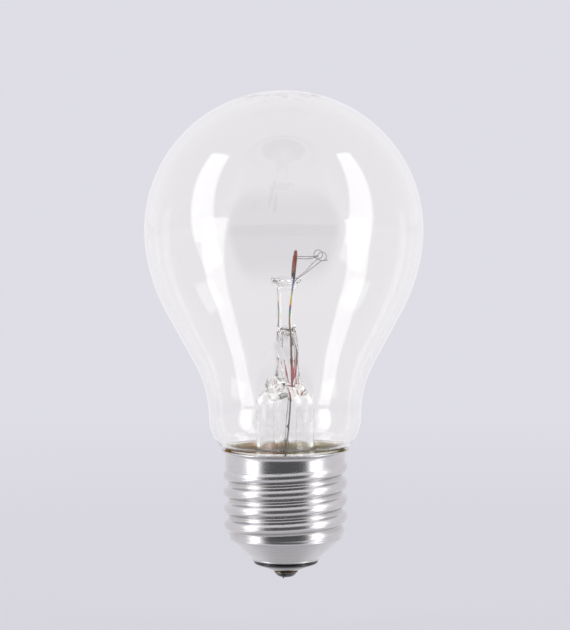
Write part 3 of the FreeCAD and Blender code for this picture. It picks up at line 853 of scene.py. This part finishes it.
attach(filament, "root")
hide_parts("filament")

# Support wires: fine molybdenum wires melted into the button head, each ending in one open loop
# that holds the filament without clamping it.
support_d = 0.15
loop_r = 0.95
loop_y = 1.2
loop_points = 17
loop_step = 20.0
loop_climb = 0.24
moly = Finish("fine_wire")
at = moly.place()
shade = moly.blend(moly.noise(at, 900.0), paint(120, 112, 118), paint(178, 172, 175))
moly.show(moly.surface({"Base Color": shade, "Metallic": 0.8, "Roughness": 0.35}))
for name, side, elbow, centre_x, centre_z, start in (
    ("front", -1, 44.4, 8.2, 48.0, -100.0), ("rear", 1, 44.25, 7.4, 48.3, -60.0),
):
    points = [(1.4, 1.7, 42.3), (4.5, 2.1, elbow), (centre_x - 0.9, 1.3, centre_z - 1.45)]
    for k in range(loop_points):
        angle = math.radians(start + loop_step * k)
        y = loop_y + loop_climb * (k / loop_points - 0.5)
        points.append((centre_x + loop_r * math.cos(angle), y, centre_z + loop_r * math.sin(angle)))
    if name == "front":
        points += [(centre_x - 0.1, 1.35, centre_z - 1.0), (centre_x + 1.25, 1.4, centre_z - 0.75)]
    support = bar("support_" + name, lifted(points, side), support_d, sides=2)
    support.data.materials.append(moly.material)
    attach(support, "root")
    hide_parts("support_wire_" + name)


# Cap shell: thin aluminium sheet, drawn, then rolled between formers into a right-hand knuckle
# thread that runs out into the plain collar above and the band below. Its rim is flared.
pitch = 3.629
knuckle_r = 1.025
crest_r = 13.2
collar_r = 12.75
rim_round = 1.5
rim_turn = 70.0
crest_z = 24.2
shell_wall = 0.28
cone_foot_z = 3.9
cone_r = 7.05
cone_heading = 41.5
cone_edge = 0.2
lip_round = 0.6
corner_round = 0.5
rim_line = 0.3
thread_clearance = 0.4
row_margin = 0.05
cone_chord = 0.35
rim_chord = 0.16
root_of_thread = crest_r - 2 * knuckle_r * (1 - math.sqrt(1 - (pitch / 4 / knuckle_r) ** 2))
thread_foot = (9.2, 11.5)
groove_end = (24.1, 22.9)
ridge_end = (25.6, 24.3)
thread_rows = 120
cap_sides = 216


def knuckle(phase):
    """Radius of the thread's profile, one turn long, with its crest at phase 0."""
    phase = abs((phase + 0.5) % 1.0 - 0.5)
    from_crest = min(phase, 0.5 - phase) * pitch
    rise = knuckle_r * (1 - math.sqrt(1 - (from_crest / knuckle_r) ** 2))
    return crest_r - rise if phase < 0.25 else root_of_thread + rise


def thread_radius(angle, z):
    """The helix, faded into the collar at its top and into the band at its foot."""
    radius = knuckle((z - crest_z) / pitch - angle / (2 * math.pi))
    groove = soft_step(z, *groove_end)
    ridge = soft_step(z, *ridge_end)
    above = collar_r + (radius - collar_r) * (ridge if radius > collar_r else groove)
    return root_of_thread + (above - root_of_thread) * soft_step(z, *thread_foot)


rim_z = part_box("cap_shell")[1][2] / MM - shell_wall * math.cos(math.radians(rim_turn))
collar_top_z = rim_z - rim_round * math.sin(math.radians(rim_turn))
cone_slant = math.radians(cone_heading)
cone_reach = root_of_thread - cone_r - (lip_round + corner_round) * (1 - math.sin(cone_slant))
cone_steps = [
    ("line", cone_edge, 0), ("right", lip_round, 90 - cone_heading),
    ("line", cone_reach / math.cos(cone_slant), 0),
    ("left", corner_round, 90 - cone_heading),
]
outline = walk((cone_r, cone_foot_z), 90, cone_steps, 0.0, cone_chord)
band_z = outline[-1][1]
thread_height = collar_top_z - thread_clearance - band_z
for k in range(1, thread_rows + 1):
    outline.append((root_of_thread, band_z + thread_height * k / thread_rows))
rim_steps = [("line", rim_line, 0), ("right", rim_round, rim_turn)]
outline += walk((collar_r, collar_top_z - rim_line), 90, rim_steps, 0.0, rim_chord)
cap = turn("cap_shell_metal", outline, steps=cap_sides, closed=False)
low = (band_z + row_margin) * MM
high = (collar_top_z - rim_line - row_margin) * MM
for vert in cap.data.vertices:
    if low < vert.co.z < high:
        angle = math.atan2(vert.co.y, vert.co.x) % (2 * math.pi)
        radius = thread_radius(angle, vert.co.z / MM) * MM
        flat = math.hypot(vert.co.x, vert.co.y)
        vert.co.x *= radius / flat
        vert.co.y *= radius / flat
wall = cap.modifiers.new("wall", "SOLIDIFY")
wall.thickness = shell_wall * MM
wall.offset = -1.0
pick(cap)
bpy.ops.object.modifier_apply(modifier="wall")

# Painted shade: where its radius is small, in the roots of the thread and the band below it, the metal
# is painted a darker brownish grey, as the shade that lies in the grooves. It fades out towards the
# cone.
root_shade = 0.75
root_shade_r = 12.1
root_shade_foot = (9.2, 10.5)
metal = Finish("cap_aluminium")
at = metal.place()
lathe = metal.noise(at, 260.0, 4.0, (0.03, 0.03, 20.0))
pits = metal.noise(at, 2300.0, 2.0)
tone = metal.blend(metal.noise(at, 170.0, 3.0, (1, 1, 2)), paint(188, 187, 190), paint(207, 205, 206))
flat = metal.node("ShaderNodeVectorMath", {"operation": "MULTIPLY"}, {0: at, 1: (1, 1, 0)})
radius = metal.node("ShaderNodeVectorMath", {"operation": "LENGTH"}, {0: flat}, out=1)
out_of_root_shade = metal.smooth(radius + metal.noise(at, 500.0) * 0.2 * MM, root_shade_r * MM, collar_r * MM)
height = metal.node("ShaderNodeSeparateXYZ", {}, {0: at}, out=2)
above_cone = metal.smooth(height, root_shade_foot[0] * MM, root_shade_foot[1] * MM)
# The painted shade of the thread's roots is mixed into the metal's colour here.
tone = metal.blend((1.0 - out_of_root_shade) * above_cone * root_shade, tone, paint(150, 143, 136))
rough = 0.20 + lathe * 0.12 + metal.smooth(pits, 0.62, 0.78) * 0.15
ridges = metal.node("ShaderNodeBump", {}, {"Height": lathe, "Distance": 0.006 * MM, "Strength": 0.5})
metal.show(metal.surface({"Base Color": tone, "Metallic": 1.0, "Roughness": rough, "Normal": ridges}))
cap.data.materials.append(metal.material)
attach(cap, "root")
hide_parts("cap_shell")

# Insulator: glossy black glass, pressed molten into the bottom of the shell, with a sharp lower
# band and a shallow cone down to the contact.
insulator = turn("insulator_glass", [
    (cone_r - 0.02, 4.3), (cone_r, cone_foot_z), (cone_r - 0.02, 3.32), (cone_r - 0.08, 3.2),
    (6.8, 3.05), (5.6, 2.57), (4.2, 2.0), (3.1, 1.58), (2.72, 1.45), (2.6, 1.5), (2.6, 3.0), (1.6, 3.0),
    (1.6, 5.9), (4.2, 5.9), (8.2, 6.5), (cone_r + 0.6, 5.2)], steps=128)
bevelled = insulator.modifiers.new("edge", "BEVEL")
bevelled.width = 0.05 * MM
bevelled.segments = 2
bevelled.angle_limit = math.radians(35)
pick(insulator)
bpy.ops.object.modifier_apply(modifier="edge")
bpy.ops.object.shade_smooth_by_angle(angle=math.radians(40))
black = Finish("black_glass")
at = black.place()
orange_peel = black.noise(at, 500.0, 2.0)
dent = black.node("ShaderNodeBump", {}, {"Height": orange_peel, "Distance": 0.03 * MM, "Strength": 0.4})
veil = black.blend(black.noise(at, 300.0), paint(2, 2, 10), paint(6, 6, 26))
black.show(black.surface({"Base Color": veil, "Roughness": 0.04, "IOR": 1.5, "Normal": dent}))
insulator.data.materials.append(black.material)
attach(insulator, "root")
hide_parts("cap_insulator")

# Centre contact: a brass disc riveted through the insulator, tarnished dark, and the solder button
# melted over it, with the clipped end of the lead as a small nib.
plate = turn("contact_disc", [
    (1.05, 1.04), (2.4, 1.04), (2.56, 1.1), (2.61, 1.2), (2.61, 1.34), (2.5, 1.38), (1.55, 1.38),
    (1.5, 6.0), (2.0, 6.1), (1.9, 6.3), (1.05, 6.2)], steps=96)
brass = Finish("contact_brass")
at = brass.place()
tarnish = brass.smooth(brass.noise(at, 900.0), 0.35, 0.65)
stain = brass.blend(tarnish, paint(72, 62, 50), paint(140, 124, 98))
brass.show(brass.surface({"Base Color": stain, "Metallic": 0.9, "Roughness": 0.32}))
plate.data.materials.append(brass.material)
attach(plate, "root")
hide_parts("contact_plate")

solder_flat_r = 0.75
solder_round = 1.78
solder_turn = 64
solder_edge_r = 2.3
solder_level_z = 0.2
solder_wave = 0.05
solder_side = walk((solder_flat_r, 0.0), 0, [("left", solder_round, solder_turn)], 0.0, 0.12)
solder_outline = [(0.0, 0.02)] + solder_side + [(2.2, 1.06), (1.0, 1.1), (0.0, 1.1)]
solder = turn("solder_button", solder_outline, steps=80, closed=False)
for vert in solder.data.vertices:
    if vert.co.z > solder_level_z * MM:
        around = math.atan2(vert.co.y, vert.co.x)
        share = math.hypot(vert.co.x, vert.co.y) / (solder_edge_r * MM)
        vert.co.z += share * wavy(around, (solder_wave * MM, 3, 1.0))
tin = Finish("solder")
at = tin.place()
crust = tin.smooth(tin.noise(at, 800.0, 4.0), 0.4, 0.65)
shade = tin.blend(crust, paint(52, 52, 58), paint(110, 110, 116))
grain = tin.noise(at, 1100.0)
lumps = tin.node("ShaderNodeBump", {}, {"Height": grain, "Distance": 0.05 * MM, "Strength": 0.5})
rough = 0.22 + crust * 0.2
tin.show(tin.surface({"Base Color": shade, "Metallic": 0.85, "Roughness": rough, "Normal": lumps}))
solder.data.materials.append(tin.material)
nib_d = 0.26
nib_route = [(-0.1, 0.0, 0.25), (-0.3, 0.0, 0.0), (-0.55, 0.0, -0.22), (-0.72, 0.0, -0.3)]
nib = bar("lead_nib", nib_route, nib_d)
nib.data.materials.append(grey.material)
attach(solder, "root")
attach(nib, "root")
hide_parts("contact_solder")

# Side solder: a drop of tin solder that joins the rear lead to the flared rim, at the back of the
# cap. It set with an uneven, slightly flattened skin.
drop_r = 1.05
drop_dent = 0.06
drop_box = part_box("side_solder")
middle = (Vector(drop_box[0]) + Vector(drop_box[1])) / 2
deselect()
bpy.ops.mesh.primitive_uv_sphere_add(segments=40, ring_count=24, radius=drop_r * MM,
                                     location=middle, scale=(1.0, 0.8, 0.95))
blob = bpy.context.object
blob.name = "solder_drop"
bpy.ops.object.transform_apply(location=True, rotation=True, scale=True)
for vert in blob.data.vertices:
    outward = vert.co - middle
    vert.co += outward * drop_dent * math.sin(outward.x / MM * 4 + outward.z / MM * 3)
bpy.ops.object.shade_smooth()
blob.data.materials.append(tin.material)
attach(blob, "root")
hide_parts("side_solder")

# Capping cement: baked resin and stone flour between neck and shell, seen through the glass as a
# ragged ochre and olive ring that has crept up the neck at the rear.
cement_low = seal_z + 0.4
cement_high = rim_z - 0.1
neck_gap = 0.04
neck_slack = 0.02
cement_r = collar_r - 0.33
neck_side = [(r + neck_gap, z) for r, z in glass_outside if cement_low < z < cement_high]
cement_points = neck_side + [
    (13.0, rim_z - 0.4), (12.8, rim_z - 0.8), (cement_r, rim_z - 1.6), (cement_r, 24.4),
    (11.75, 22.6), (11.7, cement_low),
]
cement = turn("cement_ring", cement_points, steps=180)
neck_line = sorted((z, r) for r, z in glass_outside if seal_z < z < rim_z + 4)


def neck_at(z):
    """Radius of the glass neck's outside at a height."""
    for (low_z, low_r), (high_z, high_r) in zip(neck_line, neck_line[1:]):
        if z <= high_z:
            return low_r + (high_r - low_r) * (z - low_z) / (high_z - low_z)
    return neck_line[-1][1]


creep_from = rim_z - 0.7
creep_span = 0.8
for vert in cement.data.vertices:
    around = math.atan2(vert.co.y, vert.co.x)
    reach = math.hypot(vert.co.x, vert.co.y)
    z = vert.co.z / MM
    if z > creep_from and reach < (neck_at(z) + neck_gap + neck_slack) * MM:
        ragged = wavy(around, (0.12, 7, 0.0), (0.084, 17, 1.3), (0.06, 41, 0.0))
        rise = 0.55 + 0.5 * math.sin(around) + ragged
        z += rise * (z - creep_from) / creep_span
        share = (neck_at(z) + neck_gap) * MM / reach
        vert.co = Vector((vert.co.x * share, vert.co.y * share, z * MM))
baked = Finish("cement")
at = baked.place()
across = baked.node("ShaderNodeSeparateXYZ", {}, {0: at}, out=0)
side_share = baked.smooth(across, -9.5 * MM, 9.5 * MM)
cloud = (baked.noise(at, 260.0, 4.0) - 0.5) * 0.35
ochre_to_olive = [
    (0.0, paint(196, 152, 80)), (0.22, paint(196, 122, 28)), (0.45, paint(190, 148, 52)),
    (0.65, paint(184, 160, 72)), (1.0, paint(188, 174, 124)),
]
hue = baked.node("ShaderNodeValToRGB", {"stops": ochre_to_olive}, {0: side_share + cloud})
hue = baked.blend(baked.smooth(baked.noise(at, 700.0, 3.0), 0.5, 0.75), hue, paint(140, 108, 52))
crumbs = baked.node("ShaderNodeBump", {}, {"Height": baked.noise(at, 900.0), "Distance": 0.15 * MM})
baked.show(baked.surface({"Base Color": hue, "Roughness": 0.75, "Normal": crumbs}))
cement.data.materials.append(baked.material)
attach(cement, "root")
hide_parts("capping_cement")
